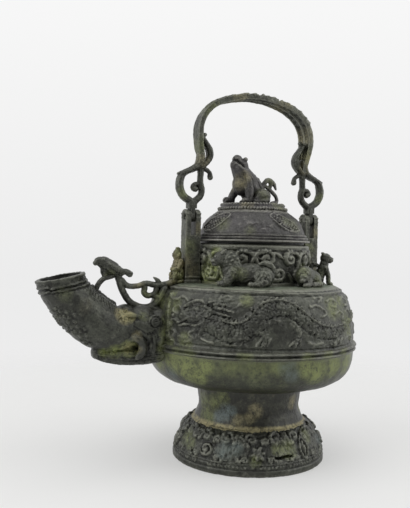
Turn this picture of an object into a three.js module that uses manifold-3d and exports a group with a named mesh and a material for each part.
// Bronze ritual kettle: a bellied vessel on a bell-shaped foot, with a beast-head spout,
// a lifting lid with a seated beast on top, and a scrolled bail handle hinged on two posts.
// Millimetres, +Z up. The spout points along -X and the handle stands in the XZ plane.

import * as THREE from 'three';
import { mergeVertices } from 'three/addons/utils/BufferGeometryUtils.js';
import Module from 'manifold-3d';

const wasm = await Module();
wasm.setup();

// Driving dimensions: casting and fits
const wall = 4;
const seatGap = 0.3;
const turnedSides = 28;

// Driving dimensions: foot
const skirtRadius = 74.5;
const skirtHeight = 36;
const skirtRim = 6;
const skirtTopRadius = 55;
const skirtFullness = 1.5;
const stemHeight = 38;
const waistRadius = 49.5;
const stemTopRadius = 53;

// Driving dimensions: body
const bowlRadius = 101;
const bowlHeight = 38;
const bowlFloorRadius = 55;
const bowlFullness = 2.8;
const bandHeight = 8;
const bandRise = 3;
const shoulderHeight = 58;
const shoulderFlatRadius = 75;
const shoulderFullness = 2.5;
const collarRadius = 55;
const collarHeight = 38;
const collarBead = 1.4;

// Driving dimensions: cast relief on shoulder and foot
const dragonRise = 2;
const dragonWidth = 16;
const cloudWidth = 5;
const cloudRise = 1.5;
const bossRadius = 7;
const bossRise = 2;
const budRadius = 4;

// Driving dimensions: lid
const lidOverhang = 0.8;
const lidRimHeight = 12;
const lidDomeRise = 21;
const lidTopRadius = 34;
const lidWall = 3.5;
const flangeDepth = 9;
const flangeWall = 3;
const flangeClearance = 0.8;
const capHeight = 7;
const capTopRadius = 28;
const finialHeight = 48;

// Driving dimensions: posts and hinge
const postOffset = 66;
const postWidth = 15;
const postDepth = 13;
const pinHeight = 64;
const pinRadius = 2;
const pinHead = 1.4;
const pinClearance = 0.35;
const slotWidth = 5;
const slotDepth = 18;
const tangClearance = 0.4;
const plinthHeight = 7;
const plinthStep = 0.8;

// Driving dimensions: handle
const handleHeight = 122;
const handleReach = 60.5;
const strapWidth = 17;
const strapThickness = 5;
const scrollReach = 15;
const scrollRadius = 3.4;
const scrollFlatness = 1.3;
const neckRise = 1;

// Driving dimensions: spout
const pourHeight = 130;
const spoutReach = 90;
const spoutRise = 45;
const spoutRootRadius = 14.5;
const spoutThroatRadius = 20;
const spoutLipRadius = 21.5;
const spoutWall = 3.5;
const lipBead = 1;
const lipBand = 10;
const headLength = 60;
const headWidth = 49;
const headHeight = 54;
const eyeRadius = 7;

// Driving dimensions: figures
const lionHeight = 34;
const beastHeight = 21;
const seatedHeight = 32;
const guardianHeight = 33;
const birdLength = 36;
const branchRadius = 2.7;

// Heights worked out from the driving dimensions
const stemBase = skirtHeight;
const bowlBase = stemBase + stemHeight;
const seam = bowlBase + bowlHeight;
const shoulderTop = seam + shoulderHeight;
const collarTop = shoulderTop + collarHeight;
const lidBase = collarTop + seatGap;
const domeTop = lidBase + lidRimHeight + lidDomeRise;
const capTop = domeTop + capHeight;
const pinLevel = shoulderTop + pinHeight;
const mouthRadius = collarRadius - wall;
const lidRadius = collarRadius + collarBead + lidOverhang;
const flangeRadius = mouthRadius - flangeClearance;

// Finishes
const bronze = { color: 0x4b4a3f, roughness: 0.5, metalness: 0.85 };
const greenBronze = { color: 0x62603c, roughness: 0.55, metalness: 0.8 };
const greyBronze = { color: 0x55525a, roughness: 0.48, metalness: 0.85 };
const brownBronze = { color: 0x5a4b33, roughness: 0.55, metalness: 0.8 };

// Solids

// A closed three.js geometry as a solid whose faces point out.
function solid(geometry) {
  const bare = geometry.clone();
  bare.deleteAttribute('normal');
  bare.deleteAttribute('uv');
  const merged = mergeVertices(bare, 1e-4);
  const points = merged.attributes.position.array;
  const faces = Uint32Array.from(merged.index.array);
  let volume = 0;
  const corner = [new THREE.Vector3(), new THREE.Vector3(), new THREE.Vector3()];
  for (let i = 0; i < faces.length; i += 3) {
    corner.forEach((c, k) => c.fromArray(points, 3 * faces[i + k]));
    volume += corner[0].dot(corner[1].cross(corner[2]));
  }
  const kept = [];
  for (let i = 0; i < faces.length; i += 3) {
    const [a, b, c] = faces.slice(i, i + 3);
    if (a === b || b === c || c === a) continue;
    kept.push(a, ...(volume < 0 ? [c, b] : [b, c]));
  }
  const vertProperties = Float32Array.from(points);
  const triVerts = Uint32Array.from(kept);
  return new wasm.Manifold(new wasm.Mesh({ numProp: 3, vertProperties, triVerts }));
}

function join(solids) {
  return solids.reduce((all, next) => all.add(next));
}

function cut(body, ...tools) {
  return tools.reduce((left, tool) => left.subtract(tool), body);
}

function part(name, shape, finish) {
  const { vertProperties, triVerts } = shape.getMesh();
  const geometry = new THREE.BufferGeometry();
  geometry.setAttribute('position', new THREE.Float32BufferAttribute(vertProperties, 3));
  geometry.setIndex(Array.from(triVerts));
  geometry.computeVertexNormals();
  const mesh = new THREE.Mesh(geometry, new THREE.MeshStandardMaterial(finish));
  mesh.name = name;
  return mesh;
}

// Radius and height pairs turned round the Z axis; the outline closes on itself or on the axis.
function turned(outline, sides = turnedSides) {
  const points = outline.map(([radius, height]) => new THREE.Vector2(radius, height));
  const onAxis = outline[0][0] === 0 && outline.at(-1)[0] === 0;
  if (!onAxis) points.push(points[0].clone());
  return solid(new THREE.LatheGeometry(points, sides).rotateX(Math.PI / 2));
}

// A quarter turn of a full round, from its side at (centre + width) to its top or bottom.
function quarter(centre, base, width, rise, fullness, steps) {
  const power = 2 / fullness;
  return Array.from({ length: steps + 1 }, (_, i) => {
    const angle = (i / steps) * Math.PI / 2;
    const out = width * Math.cos(angle) ** power;
    const up = rise * Math.sin(angle) ** power;
    return [centre + (i === steps ? 0 : out), base + (i === 0 ? 0 : up)];
  });
}

// A smooth line through radius and height pairs.
function smooth(pairs, steps) {
  const points = pairs.map(([radius, height]) => new THREE.Vector2(radius, height));
  const curve = new THREE.SplineCurve(points);
  return curve.getPoints(steps).map((point) => [point.x, point.y]);
}

function box(width, depth, height, x, y, z) {
  return solid(new THREE.BoxGeometry(width, depth, height).translate(x, y, z));
}

// A round bar along X.
function bar(radius, length, x, z, sides = 16) {
  const geometry = new THREE.CylinderGeometry(radius, radius, length, sides);
  return solid(geometry.rotateZ(Math.PI / 2).translate(x, 0, z));
}

// A ball or egg: centre, half sizes, then how far it leans about Y.
function egg([x, y, z], [halfX, halfY, halfZ], lean = 0) {
  const geometry = new THREE.SphereGeometry(1, 8, 5).scale(halfX, halfY, halfZ);
  return geometry.rotateY(lean).translate(x, y, z);
}

// Rings of points joined into one closed geometry.
function lofted(rings) {
  const sides = rings[0].length;
  const last = (rings.length - 1) * sides;
  const index = [];
  for (let a = 0; a < last; a += 1) {
    const b = a % sides === sides - 1 ? a + 1 - sides : a + 1;
    index.push(a, b, a + sides, b, b + sides, a + sides);
  }
  for (let k = 1; k < sides - 1; k += 1) index.push(0, k + 1, k, last, last + k, last + k + 1);
  const positions = rings.flat().flatMap((point) => point.toArray());
  const geometry = new THREE.BufferGeometry();
  geometry.setAttribute('position', new THREE.Float32BufferAttribute(positions, 3));
  geometry.setIndex(index);
  return geometry;
}

// A bar of changing radius along a line of points; flatness widens it across the XZ plane.
function branch(points, radii, { steps = 14, sides = 8, flatness = 1, overrun = 0 } = {}) {
  const curve = new THREE.CatmullRomCurve3(points.map(([x, y, z]) => new THREE.Vector3(x, y, z)));
  const frames = curve.computeFrenetFrames(steps);
  const radiusLine = new THREE.SplineCurve(radii.map((radius, i) => new THREE.Vector2(i, radius)));
  const rings = Array.from({ length: steps + 1 }, (_, i) => {
    const centre = curve.getPointAt(i / steps);
    if (i === 0) centre.addScaledVector(frames.tangents[0], -overrun);
    if (i === steps) centre.addScaledVector(frames.tangents[steps], overrun);
    const radius = radiusLine.getPoint(i / steps).y;
    return Array.from({ length: sides }, (__, k) => {
      const angle = (2 * Math.PI * (k + 0.5)) / sides;
      return centre.clone()
        .addScaledVector(frames.normals[i], radius * flatness * Math.cos(angle))
        .addScaledVector(frames.binormals[i], radius * Math.sin(angle));
    });
  });
  return lofted(rings);
}

// Figure geometries turned to a heading about Z, then moved to their place, as one solid.
function placed(geometries, heading, x, y, z) {
  return join(geometries.map((geometry) => solid(geometry.rotateZ(heading).translate(x, y, z))));
}

// Cast relief on round skins

// How far out a full round stands, at a share of its rise.
function roundAt(share, fullness) {
  return (1 - Math.min(Math.max(share, 0), 1) ** fullness) ** (1 / fullness);
}

function skirtAt(height) {
  const share = (height - skirtRim) / (skirtHeight - skirtRim);
  return skirtTopRadius + (skirtRadius - 1 - skirtTopRadius) * roundAt(share, skirtFullness);
}

function shoulderAt(height) {
  const share = (height - seam) / shoulderHeight;
  return shoulderFlatRadius + (bowlRadius - shoulderFlatRadius) * roundAt(share, shoulderFullness);
}

// A place on a round skin, with the ways out, along and up there: degrees from the spout towards
// the near side, and a height.
function skinAt(radiusAt, angle, height) {
  const around = THREE.MathUtils.degToRad(angle);
  const slope = radiusAt(height + 0.5) - radiusAt(height - 0.5);
  const toward = new THREE.Vector3(-Math.cos(around), -Math.sin(around), 0);
  const place = toward.clone().multiplyScalar(radiusAt(height)).setZ(height);
  const out = toward.clone().setZ(-slope).normalize();
  const along = new THREE.Vector3(Math.sin(around), -Math.cos(around), 0);
  return { place, out, along, up: along.clone().cross(out).negate() };
}

// A ridge with a flat crest through angles, heights and half widths on a round skin.
function ridge(radiusAt, line, rise, steps) {
  const curve = new THREE.CatmullRomCurve3(line.map((row) => new THREE.Vector3(...row)));
  const rows = curve.getSpacedPoints(steps);
  const skins = rows.map((row) => skinAt(radiusAt, row.x, row.y));
  const rings = skins.map(({ place, out }, i) => {
    const before = skins[Math.max(i - 1, 0)].place;
    const after = skins[Math.min(i + 1, steps)].place;
    const side = out.clone().cross(after.clone().sub(before)).normalize();
    return [[-1, -wall / 2], [-0.6, rise], [0.6, rise], [1, -wall / 2]].map(([across, lift]) => (
      place.clone().addScaledVector(side, across * rows[i].z).addScaledVector(out, lift)
    ));
  });
  return solid(lofted(rings));
}

// A six-sided boss with a smaller top on a round skin.
function boss(radiusAt, angle, height, halfWidth, halfHeight, rise) {
  const { place, out, along, up } = skinAt(radiusAt, angle, height);
  const rings = [[1, -wall / 2], [0.6, rise]].map(([share, lift]) => (
    Array.from({ length: 6 }, (_, k) => {
      const turn = (k * Math.PI) / 3;
      return place.clone().addScaledVector(out, lift)
        .addScaledVector(along, share * halfWidth * Math.cos(turn))
        .addScaledVector(up, share * halfHeight * Math.sin(turn));
    })
  ));
  return solid(lofted(rings));
}

// Foot: a hollow bell-shaped skirt under a waisted stem

// Round the skirt: nine bosses, flowers and leaves in turn, with a row of buds above them.
function footSkirt() {
  const slope = skirtRadius - 1 - skirtTopRadius;
  const drop = skirtHeight - skirtRim;
  const outside = quarter(skirtTopRadius, skirtRim, slope, drop, skirtFullness, 4);
  const inside = quarter(skirtTopRadius - wall, skirtRim, slope, drop - wall, skirtFullness, 3);
  const bell = turned([
    [skirtRadius, 0], [skirtRadius, skirtRim], ...outside, [skirtTopRadius - wall, skirtHeight],
    ...inside.reverse(), [skirtRadius - wall, 0],
  ]);
  const bosses = Array.from({ length: 9 }, (_, k) => {
    const tall = k % 3 === 2 ? 1.4 : 1;
    return boss(skirtAt, 30 + 40 * k, skirtRim + 0.46 * drop, bossRadius / tall, bossRadius * tall, bossRise);
  });
  const buds = Array.from({ length: 18 }, (_, k) => (
    boss(skirtAt, 5 + 20 * k, skirtRim + 0.84 * drop, budRadius, budRadius, bossRise)
  ));
  return join([bell, ...bosses, ...buds]);
}

function footStem() {
  const flare = [
    [skirtTopRadius, stemBase],
    [waistRadius + 2, stemBase + 0.2 * stemHeight],
    [waistRadius, stemBase + 0.45 * stemHeight],
    [stemTopRadius, bowlBase],
  ];
  const outside = smooth(flare, 5);
  const inside = outside.map(([radius, height]) => [radius - wall, height]).reverse();
  return turned([...outside, ...inside]);
}

// Body: bowl, belly band, shoulder and collar

function bowlOutside(grow) {
  const width = bowlRadius - bowlFloorRadius + grow;
  return quarter(bowlFloorRadius, seam, width, -(bowlHeight + grow), bowlFullness, 6).reverse();
}

function shoulderOutside(grow) {
  const width = bowlRadius - shoulderFlatRadius + grow;
  return quarter(shoulderFlatRadius, seam, width, shoulderHeight + grow, shoulderFullness, 6);
}

function bowl() {
  return turned([[0, bowlBase], ...bowlOutside(0), ...bowlOutside(-wall).reverse(), [0, bowlBase + wall]]);
}

// The whole body as one plain lump, grown a little: what sits on the body is cut by it.
function bodyLump(grow) {
  const above = shoulderOutside(grow).slice(1);
  return turned([[0, bowlBase - grow], ...bowlOutside(grow), ...above, [0, shoulderTop + grow]]);
}

function collarLump(grow) {
  const radius = collarRadius + collarBead + grow;
  return turned([[0, seam], [radius, seam], [radius, collarTop], [0, collarTop]]);
}

// A dragon on each side, from the spout to the rear: head, body, legs and clouds.
function dragon(side) {
  const half = dragonWidth / 2;
  const level = (share) => seam + share * shoulderHeight;
  const trace = (rows, width, rise, steps) => (
    ridge(shoulderAt, rows.map(([angle, up, share]) => [side * angle, level(up), share * width]), rise, steps)
  );
  const body = trace([
    [39, 0.46, 0.8], [46.5, 0.4, 1], [57, 0.36, 1.1], [64.3, 0.49, 1], [70.6, 0.69, 0.9], [75.1, 0.73, 0.8],
    [80.3, 0.72, 0.8], [89.7, 0.55, 0.75], [100.2, 0.37, 0.75], [107.3, 0.34, 0.7], [124, 0.42, 0.4],
  ], half, dragonRise, 18);
  const limbs = [
    [[63, 0.43, 1], [68, 0.36, 0.9], [69, 0.2, 0.9]],
    [[85, 0.5, 1], [87, 0.36, 0.9], [84.5, 0.17, 0.9]],
    [[106, 0.32, 1], [113, 0.22, 0.9], [109, 0.12, 0.9]],
    [[10, 0.81, 0.8], [18, 0.78, 1], [26, 0.77, 0.8]],
    [[40, 0.82, 0.8], [46, 0.83, 1], [52, 0.86, 0.8]],
    [[96, 0.74, 0.8], [102, 0.71, 1], [105, 0.61, 0.8]],
    [[110, 0.8, 0.8], [117, 0.78, 1], [114, 0.71, 0.8]],
  ].map((rows) => trace(rows, cloudWidth / 2, cloudRise, 3));
  const head = boss(shoulderAt, side * 33, level(0.59), 1.45 * half, half, dragonRise);
  return join([body, head, ...limbs]);
}

function shoulder() {
  const inside = shoulderOutside(-wall).reverse();
  const ring = turned([
    ...shoulderOutside(0), [mouthRadius, shoulderTop], [mouthRadius, shoulderTop - wall], ...inside,
  ]);
  const pourHole = bar(spoutRootRadius - spoutWall, 4 * wall, -bowlRadius, pourHeight);
  return cut(join([ring, dragon(1), dragon(-1)]), pourHole);
}

function bellyBand() {
  const inner = bowlRadius + seatGap;
  const crest = bowlRadius + bandRise;
  const low = seam - bandHeight / 2;
  const ring = turned([
    [inner, low], [crest - 0.7, low + 0.4], [crest, low + 0.25 * bandHeight], [inner + 0.9, seam],
    [crest, low + 0.75 * bandHeight], [crest - 0.7, low + bandHeight - 0.4], [inner, low + bandHeight],
  ]);
  return cut(cut(ring, bodyLump(seatGap)), spoutHeadLump(seatGap));
}

function collar() {
  const lip = collarRadius + collarBead;
  const bead = 3;
  return turned([
    [lip, shoulderTop], [lip, shoulderTop + bead], [collarRadius, shoulderTop + bead + 1],
    [collarRadius, collarTop - bead - 1], [lip, collarTop - bead], [lip, collarTop],
    [mouthRadius, collarTop], [mouthRadius, shoulderTop],
  ]);
}

// Lid: moulded rim and dome, locating flange, beaded cap and seated beast

function lidDome() {
  const rimTop = lidBase + lidRimHeight;
  const step = lidRimHeight / 3;
  const inset = 1.6;
  const dome = smooth([
    [lidRadius - 3.6 * inset, rimTop],
    [(lidRadius + lidTopRadius) / 2 - inset, rimTop + 0.55 * lidDomeRise],
    [lidTopRadius, domeTop],
  ], 4);
  const inner = flangeRadius - flangeWall;
  const under = smooth([
    [inner, rimTop - lidWall],
    [(inner + lidTopRadius) / 2, rimTop + 0.5 * lidDomeRise - lidWall],
    [lidTopRadius - lidWall, domeTop - lidWall],
  ], 3);
  return turned([
    [0, domeTop - lidWall], ...under.reverse(), [inner, lidBase], [lidRadius, lidBase],
    [lidRadius, lidBase + step - 0.8], [lidRadius - inset, lidBase + step],
    [lidRadius - inset, lidBase + 2 * step - 0.8], [lidRadius - 2 * inset, lidBase + 2 * step],
    [lidRadius - 2 * inset, rimTop - 0.8], ...dome, [0, domeTop],
  ]);
}

function lidFlange() {
  return turned([
    [flangeRadius, lidBase - flangeDepth], [flangeRadius, lidBase],
    [flangeRadius - flangeWall, lidBase], [flangeRadius - flangeWall, lidBase - flangeDepth],
  ]);
}

function lidCap() {
  return turned([
    [0, domeTop], [lidTopRadius - 1, domeTop], [lidTopRadius, domeTop + 0.3 * capHeight],
    [lidTopRadius - 2, domeTop + 0.55 * capHeight], [capTopRadius, domeTop + 0.8 * capHeight],
    [capTopRadius - 2, capTop], [0, capTop],
  ]);
}

// Seated beast with raised muzzle and curled tail, drawn for a height of 48 and scaled.
function finialBeast() {
  const size = finialHeight / 48;
  const leg = (y) => branch([[-10, y, 22], [-17, y, 12], [-20, y, 2], [-25, y, 0]], [5, 4, 3.6, 3],
    { steps: 4, sides: 6 });
  const parts = [
    egg([-6, 0, 20], [11, 10, 16], -0.55),
    egg([4, 0, 8], [14, 14, 10]),
    egg([-13, 0, 34], [9, 9, 9.5]),
    egg([-19, 0, 40], [10, 6, 6], 0.75),
    leg(7),
    leg(-7),
    branch([[9, 0, 8], [18, 0, 12], [17, 0, 22], [21, 0, 24], [25, 0, 16], [24, 0, 5], [20, 0, 1]],
      [4.5, 3.6, 2.8, 2.8, 2.6, 2.6, 3], { steps: 11, sides: 5 }),
  ].map((geometry) => geometry.scale(size, size, size));
  const floor = capTop + seatGap;
  const beast = placed(parts, 0, 0, 0, capTop);
  return cut(beast, box(4 * lidTopRadius, 4 * lidTopRadius, capHeight, 0, 0, floor - capHeight / 2));
}

// Hinge posts: slotted uprights on a moulded plinth, rounded over about the pin

function hingePost(side) {
  const x = side * postOffset;
  const root = shoulderTop - shoulderHeight / 4;
  const upright = box(postWidth, postDepth, pinLevel - root, x, 0, (pinLevel + root) / 2);
  const head = bar(postDepth / 2, postWidth, x, pinLevel, 20);
  const plinth = [0, 1, 2].map((i) => {
    const grown = 2 * plinthStep * (1 - i / 3);
    const top = shoulderTop + ((i + 1) * plinthHeight) / 3;
    return box(postWidth + grown, postDepth + grown, top - root, x, 0, (top + root) / 2);
  });
  const slotBase = pinLevel - slotDepth;
  const slotHeight = slotDepth + postDepth;
  const slot = box(slotWidth, 2 * postDepth, slotHeight, x, 0, slotBase + slotHeight / 2);
  const bore = bar(pinRadius + pinClearance, 2 * postWidth, x, pinLevel);
  const body = join([upright, head, ...plinth]);
  return cut(body, slot, bore, bodyLump(seatGap), collarLump(seatGap));
}

// A pin with a head outside the post and its other end flush, clear of the lid.
function hingePin(side) {
  const inner = postWidth / 2 - seatGap;
  const outer = postWidth / 2 + seatGap;
  const head = pinRadius + pinHead;
  const outline = [
    [0, -inner], [pinRadius, -inner], [pinRadius, outer],
    [head, outer], [head, outer + pinHead], [0, outer + pinHead],
  ];
  const points = outline.map(([radius, along]) => new THREE.Vector2(radius, along));
  const geometry = new THREE.LatheGeometry(points, 14).rotateZ((-side * Math.PI) / 2);
  return solid(geometry.translate(side * postOffset, 0, pinLevel));
}

// Handle: an arched strap carried by two scrolled ends, whose tangs hang on the pins

// Points of the handle in its plane: outward from the axis and up from the pins.
function inHandle(side, pairs) {
  return pairs.map(([out, up]) => [side * out, 0, pinLevel + up]);
}

const strapFoot = 0.49 * handleHeight;

// The strap along its arch; grown where it is used to clear the scroll ends from it.
function strapShape(grow) {
  const half = [
    [0, 1], [0.27, 0.988], [0.5, 0.96], [0.68, 0.925], [0.82, 0.877], [0.93, 0.81],
    [0.99, 0.73], [1, 0.65], [0.985, 0.565],
  ].map(([out, up]) => [out * handleReach, up * (handleHeight - strapThickness / 2)]);
  half.push([0.955 * handleReach, strapFoot - grow]);
  const line = [...inHandle(-1, half).reverse(), ...inHandle(1, half).slice(1)];
  const curve = new THREE.CatmullRomCurve3(line.map(([x, y, z]) => new THREE.Vector3(x, y, z)));
  const thick = strapThickness / 2 + grow;
  const wide = strapWidth / 2 + grow;
  const section = new THREE.Shape([
    new THREE.Vector2(-wide, 0),
    new THREE.Vector2(-wide + thick, -thick),
    new THREE.Vector2(wide - thick, -thick),
    new THREE.Vector2(wide, 0),
    new THREE.Vector2(wide - thick, thick),
    new THREE.Vector2(-wide + thick, thick),
  ]);
  return solid(new THREE.ExtrudeGeometry(section, { steps: 32, extrudePath: curve, bevelEnabled: false }));
}

function handleScroll(side) {
  const root = postDepth / 2 + neckRise;
  const knee = 0.955 * handleReach;
  const low = root + 1.9 * scrollRadius;
  const out = (share) => postOffset + share * scrollReach;
  const up = (share) => low + share * (strapFoot - low);
  const tangWidth = slotWidth - 2 * tangClearance;
  const tangRadius = postDepth / 2 - neckRise;
  const options = { sides: 6, flatness: scrollFlatness };
  const across = (pairs, radii, steps) => branch(inHandle(side, pairs), radii.map((r) => r * scrollRadius),
    { ...options, steps });
  const outerScroll = across([
    [out(-0.07), up(-0.06)], [out(0.53), up(0.07)], [out(0.9), up(0.2)], [out(1), up(0.36)],
    [out(0.87), up(0.55)], [out(0.33), up(0.7)], [knee + 0.2 * scrollReach, up(0.84)],
    [knee, strapFoot - seatGap],
  ], [1.1, 1, 1.05, 1.1, 1.15, 1.2, 1.25, 1.2], 14);
  const innerStem = across([
    [out(0.07), up(-0.06)], [out(-0.53), up(0.09)], [out(-0.77), up(0.26)], [out(-0.65), up(0.45)],
    [out(-0.67), up(0.6)], [knee - 0.07 * scrollReach, up(0.82)], [knee, up(0.95)],
  ], [1.1, 0.95, 0.9, 0.9, 0.9, 1, 1], 10);
  const curl = across([
    [out(-0.7), up(0.34)], [out(-0.33), up(0.41)], [out(0.03), up(0.36)], [out(0.1), up(0.27)],
    [out(-0.1), up(0.24)],
  ], [0.75, 0.7, 0.65, 0.7, 0.9], 8);
  const leafTip = across([
    [out(0.6), up(0.62)], [out(0.87), up(0.62)], [out(1.07), up(0.66)],
  ], [0.9, 0.8, 0.3], 3);
  const hook = across([
    [knee - 0.13 * scrollReach, up(0.82)], [knee - 0.6 * scrollReach, up(0.8)],
    [knee - 0.8 * scrollReach, up(0.69)], [knee - 0.73 * scrollReach, up(0.58)],
  ], [0.8, 0.7, 0.65, 0.9], 6);
  const bulge = across([
    [knee - 0.07 * scrollReach, up(0.84)], [knee - 0.6 * scrollReach, up(0.96)],
    [knee - 0.73 * scrollReach, up(1.12)], [knee - 0.4 * scrollReach, up(1.28)],
    [knee - 0.28 * scrollReach, up(1.32)],
  ], [0.9, 0.75, 0.75, 0.75, 0.5], 8);
  const x = side * postOffset;
  const neckTop = pinLevel + low;
  const neckBase = pinLevel + root;
  const neck = box(2.4 * scrollRadius, 2 * scrollRadius * scrollFlatness, neckTop - neckBase, x, 0,
    (neckTop + neckBase) / 2);
  const tang = box(tangWidth, 1.8 * tangRadius, neckTop - pinLevel, x, 0, (neckTop + pinLevel) / 2);
  const eye = bar(tangRadius, tangWidth, x, pinLevel, 18);
  const bore = bar(pinRadius + pinClearance, 2 * postWidth, x, pinLevel);
  const scrolls = [outerScroll, innerStem, curl, leafTip, hook, bulge].map(solid);
  const body = join([neck, tang, eye, ...scrolls]);
  return cut(body, bore, strapShape(seatGap));
}

// Spout: a beast head on the body with the pouring tube rising out of its jaws

// Along the spout: shares of its reach out from the body, and heights above or below the pour hole.
function inSpout(pairs, y = 0) {
  return pairs.map(([out, up]) => [-bowlRadius - out * spoutReach, y, pourHeight + up * spoutRise]);
}

const spoutLine = inSpout([
  [-0.06, 0], [0.16, -0.07], [0.4, -0.07], [0.64, 0.12], [0.81, 0.4], [0.945, 0.74], [1, 1],
]);

// The tube along that line, made larger or smaller all round; overrun lengthens its ends.
function spoutShape(grow, overrun = 0) {
  const swell = spoutThroatRadius - spoutRootRadius;
  const radii = [
    spoutRootRadius, spoutRootRadius, spoutRootRadius + 0.27 * swell, spoutRootRadius + 0.9 * swell,
    spoutThroatRadius, (2 * spoutThroatRadius + spoutLipRadius) / 3, spoutLipRadius,
  ].map((radius) => radius + grow);
  return solid(branch(spoutLine, radii, { steps: 12, sides: 12, overrun }));
}

function spoutTube() {
  const end = new THREE.Vector3(...spoutLine.at(-1));
  const before = new THREE.Vector3(...spoutLine.at(-2));
  const along = end.clone().sub(before).normalize();
  const band = new THREE.CylinderGeometry(spoutLipRadius + lipBead, spoutThroatRadius + lipBead, lipBand, 12);
  band.rotateX(Math.PI / 2);
  band.lookAt(along);
  const middle = end.clone().addScaledVector(along, -lipBand / 2);
  const lip = solid(band.translate(middle.x, middle.y, middle.z));
  return cut(join([spoutShape(0), lip]), spoutShape(-spoutWall, wall), bodyLump(seatGap));
}

// Skull, brow, muzzle and lower jaw, grown evenly where the lump is used as a cutter.
function spoutHeadLump(grow) {
  const wide = headWidth / 2 + grow;
  const tall = headHeight / 2 + grow;
  const eye = eyeRadius + grow;
  const at = (out, up, y = 0) => inSpout([[out, up]], y)[0];
  return join([
    egg(at(0.02, -0.14), [0.4 * headLength + grow, wide, tall]),
    egg(at(0.24, -0.02), [0.43 * headLength + grow, wide * 0.93, tall * 0.86], 0.25),
    egg(at(0.34, 0.24), [0.22 * headLength + grow, wide * 0.6, tall * 0.4]),
    egg(at(0.3, -0.56), [0.5 * headLength + grow, wide * 0.8, tall * 0.42], 0.1),
    egg(at(0.56, -0.5), [0.15 * headLength + grow, wide * 0.55, tall * 0.3], 0.5),
    egg(at(0.13, 0.06, wide * 0.82), [eye, 0.75 * eye, eye]),
    egg(at(0.13, 0.06, -wide * 0.82), [eye, 0.75 * eye, eye]),
  ].map(solid));
}

function spoutHead() {
  return cut(spoutHeadLump(0), spoutShape(seatGap, wall), bodyLump(seatGap));
}

// Scrolling branch over the spout, from the front guardian to the perched bird.
function branchShapes(grow) {
  const top = (shoulderTop - pourHeight) / spoutRise;
  const inner = (postOffset + postWidth / 2 + 3 * branchRadius - bowlRadius) / spoutReach;
  const widths = (list) => list.map((share) => share * branchRadius + grow);
  const flat = { flatness: 1.25, sides: 6 };
  return [
    branch(inSpout([
      [inner, top + 0.12], [-0.05, top - 0.03], [0.04, top - 0.01], [0.125, top + 0.03],
      [0.23, top - 0.07], [0.32, top], [0.4, top + 0.2],
    ]), widths([1.2, 1, 1, 1, 1, 1.1, 1]), { ...flat, steps: 14 }),
    branch(inSpout([[0.38, top + 0.18], [0.41, top - 0.05], [0.35, 0.6], [0.28, 0.44], [0.22, 0.36]]),
      widths([1, 1, 1.05, 1.1, 1.2]), { ...flat, steps: 9 }),
    branch(inSpout([
      [0.08, top - 0.02], [0.045, top - 0.16], [0.08, 0.62], [0.14, 0.64], [0.15, 0.74], [0.11, 0.75],
    ]), widths([0.8, 0.85, 0.85, 0.8, 0.75, 1]), { ...flat, steps: 10 }),
    branch(inSpout([[0.045, top - 0.15], [0, 0.55], [-0.03, 0.3]]), widths([0.9, 1, 1.2]),
      { ...flat, steps: 5 }),
    branch(inSpout([[0.42, top + 0.2], [0.55, top + 0.13], [0.665, 0.78], [0.64, 0.6]]),
      widths([1.1, 1, 0.95, 1.3]), { ...flat, steps: 8 }),
  ];
}

function spoutBranch() {
  const body = join(branchShapes(0).map(solid));
  const clearance = lipBead + seatGap;
  return cut(body, spoutShape(clearance), spoutHeadLump(seatGap), bodyLump(seatGap), guardianLump(seatGap));
}

function spoutBird() {
  const size = birdLength / 36;
  const parts = [
    egg([0, 0, 5], [12, 7, 7], -0.25), egg([-10, 0, 9], [7, 5.5, 6]),
    branch([[-13, 0, 10], [-18, 0, 9], [-21, 0, 6]], [4, 2.8, 1], { steps: 3, sides: 5 }),
    branch([[9, 0, 5], [15, 0, 4], [19, 0, 0], [16, 0, -4]], [4, 3, 2.4, 2.4], { steps: 5, sides: 5 }),
  ].map((geometry) => geometry.scale(size, size, size));
  const [x, , z] = inSpout([[0.5, (shoulderTop - pourHeight) / spoutRise + 0.25]])[0];
  return cut(placed(parts, 0, x, 0, z), ...branchShapes(seatGap).map(solid));
}

// Small guardian seated against the spout side of the front post.
function guardianLump(grow) {
  const size = guardianHeight / 33;
  const lump = [
    egg([0, 0, 8], [7 + grow, 8 + grow, 10 + grow]), egg([-0.5, 0, 21], [6 + grow, 7 + grow, 7 + grow]),
    egg([-2.5, 0, 27], [5 + grow, 5.5 + grow, 6 + grow]), egg([-4, 5, 3], [5 + grow, 3.5 + grow, 5 + grow]),
    egg([-4, -5, 3], [5 + grow, 3.5 + grow, 5 + grow]),
  ].map((geometry) => geometry.scale(size, size, size));
  return placed(lump, 0, -postOffset - postWidth / 2 - 4.5, 0, shoulderTop);
}

function frontGuardian() {
  const face = -postOffset - postWidth / 2 - plinthStep - seatGap;
  const behind = box(postOffset, 4 * postDepth, 4 * guardianHeight, face + postOffset / 2, 0, shoulderTop);
  return cut(guardianLump(0), behind, bodyLump(seatGap));
}

// Beasts on the shoulder, each with its muzzle along +X. Two face along the shoulder towards the spout,
// and the seated one is turned to face outward.

function lionParts(side) {
  return [
    egg([0, 0, 10], [22, 9, 10]),
    egg([13, 0, 16], [10, 9, 11]),
    egg([17, -side * 2, 26], [9, 8.5, 8.5]),
    egg([24, -side * 5, 23], [5, 5, 5]),
    egg([-14, -side, 9], [10, 10, 9.5]),
    egg([20, -side * 2, 2], [10, 9, 3.6]),
    branch([[-16, 0, 11], [-23, 0, 18], [-18, 0, 26], [-13, 0, 27]], [3, 2.6, 2.6, 3],
      { steps: 5, sides: 5 }),
  ];
}

function curledParts(side) {
  return [
    egg([-4, 0, 8], [14, 9.5, 10.5]),
    egg([9, -side * 2, 13], [7, 6.5, 7]),
    egg([14, -side * 4, 12], [4.5, 4, 4]),
    egg([7, -side, 2.5], [9, 8.5, 3.6]),
  ];
}

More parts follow.
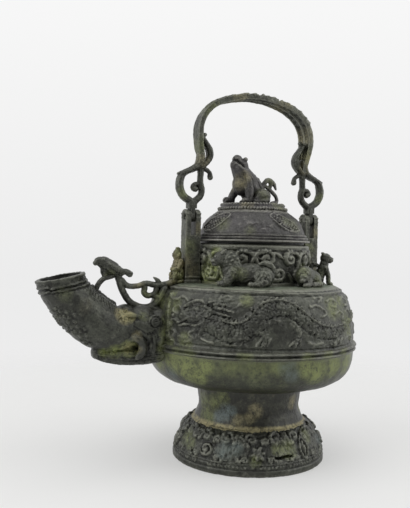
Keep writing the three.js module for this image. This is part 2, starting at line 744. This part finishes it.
function seatedParts() {
  return [
    egg([-2, 0, 7], [6.5, 7, 8]),
    egg([0.5, 0, 15], [5.5, 6, 9], 0.2),
    egg([3, 0, 26.6], [5.2, 5, 5.4]),
    egg([8, 0, 25], [3.2, 3, 2.6]),
    egg([6, 0, 6.5], [3, 5.5, 9]),
    branch([[-7, 0, 4], [-9.4, 0, 10], [-6, 0, 16]], [2.4, 2.2, 2.4], { steps: 4, sides: 5 }),
  ];
}

const beastRing = (collarRadius + shoulderFlatRadius) / 2 + 0.5;
const seatedRing = shoulderFlatRadius - 5;

// Angle round the axis from the spout, towards the near side (-Y) for side = -1.
function shoulderBeast(parts, scale, angle, side, turn, radius = beastRing) {
  const around = THREE.MathUtils.degToRad(angle) * side;
  const x = -radius * Math.cos(around);
  const y = radius * Math.sin(around);
  const heading = Math.atan2(-Math.cos(around) * side, -Math.sin(around) * side) + side * turn;
  const sized = parts.map((geometry) => geometry.scale(scale, scale, scale));
  return cut(placed(sized, heading, x, y, shoulderTop), bodyLump(seatGap), collarLump(seatGap));
}

const pieces = [
  part('foot_skirt', footSkirt(), bronze),
  part('foot_stem', footStem(), bronze),
  part('bowl', bowl(), greenBronze),
  part('belly_band', bellyBand(), bronze),
  part('shoulder', shoulder(), bronze),
  part('collar', collar(), bronze),
  part('spout_head', spoutHead(), bronze),
  part('spout_tube', spoutTube(), bronze),
  part('spout_branch', spoutBranch(), bronze),
  part('spout_bird', spoutBird(), bronze),
  part('front_guardian', frontGuardian(), brownBronze),
  part('front_post', hingePost(-1), bronze),
  part('rear_post', hingePost(1), bronze),
  part('front_hinge_pin', hingePin(-1), bronze),
  part('rear_hinge_pin', hingePin(1), bronze),
  part('lid_dome', lidDome(), greyBronze),
  part('lid_flange', lidFlange(), greyBronze),
  part('lid_cap', lidCap(), greyBronze),
  part('finial_beast', finialBeast(), greyBronze),
  part('handle_strap', strapShape(0), bronze),
  part('front_handle_scroll', handleScroll(-1), bronze),
  part('rear_handle_scroll', handleScroll(1), bronze),
];

for (const [name, side] of [['near', -1], ['far', 1]]) {
  const lion = shoulderBeast(lionParts(side), lionHeight / 34, 56, side, 0);
  const curled = shoulderBeast(curledParts(side), beastHeight / 21, 112, side, 0);
  const seated = shoulderBeast(seatedParts(), seatedHeight / 32, 150, side, -Math.PI / 2, seatedRing);
  pieces.push(part(`${name}_lion`, lion, bronze));
  pieces.push(part(`${name}_curled_beast`, curled, bronze));
  pieces.push(part(`${name}_seated_beast`, seated, bronze));
}

const kettle = new THREE.Group();
kettle.add(...pieces);

// The origin is under the middle of the whole object's box.
const bounds = new THREE.Box3().setFromObject(kettle);
kettle.position.x = -(bounds.min.x + bounds.max.x) / 2;
kettle.updateMatrixWorld(true);

export default kettle;
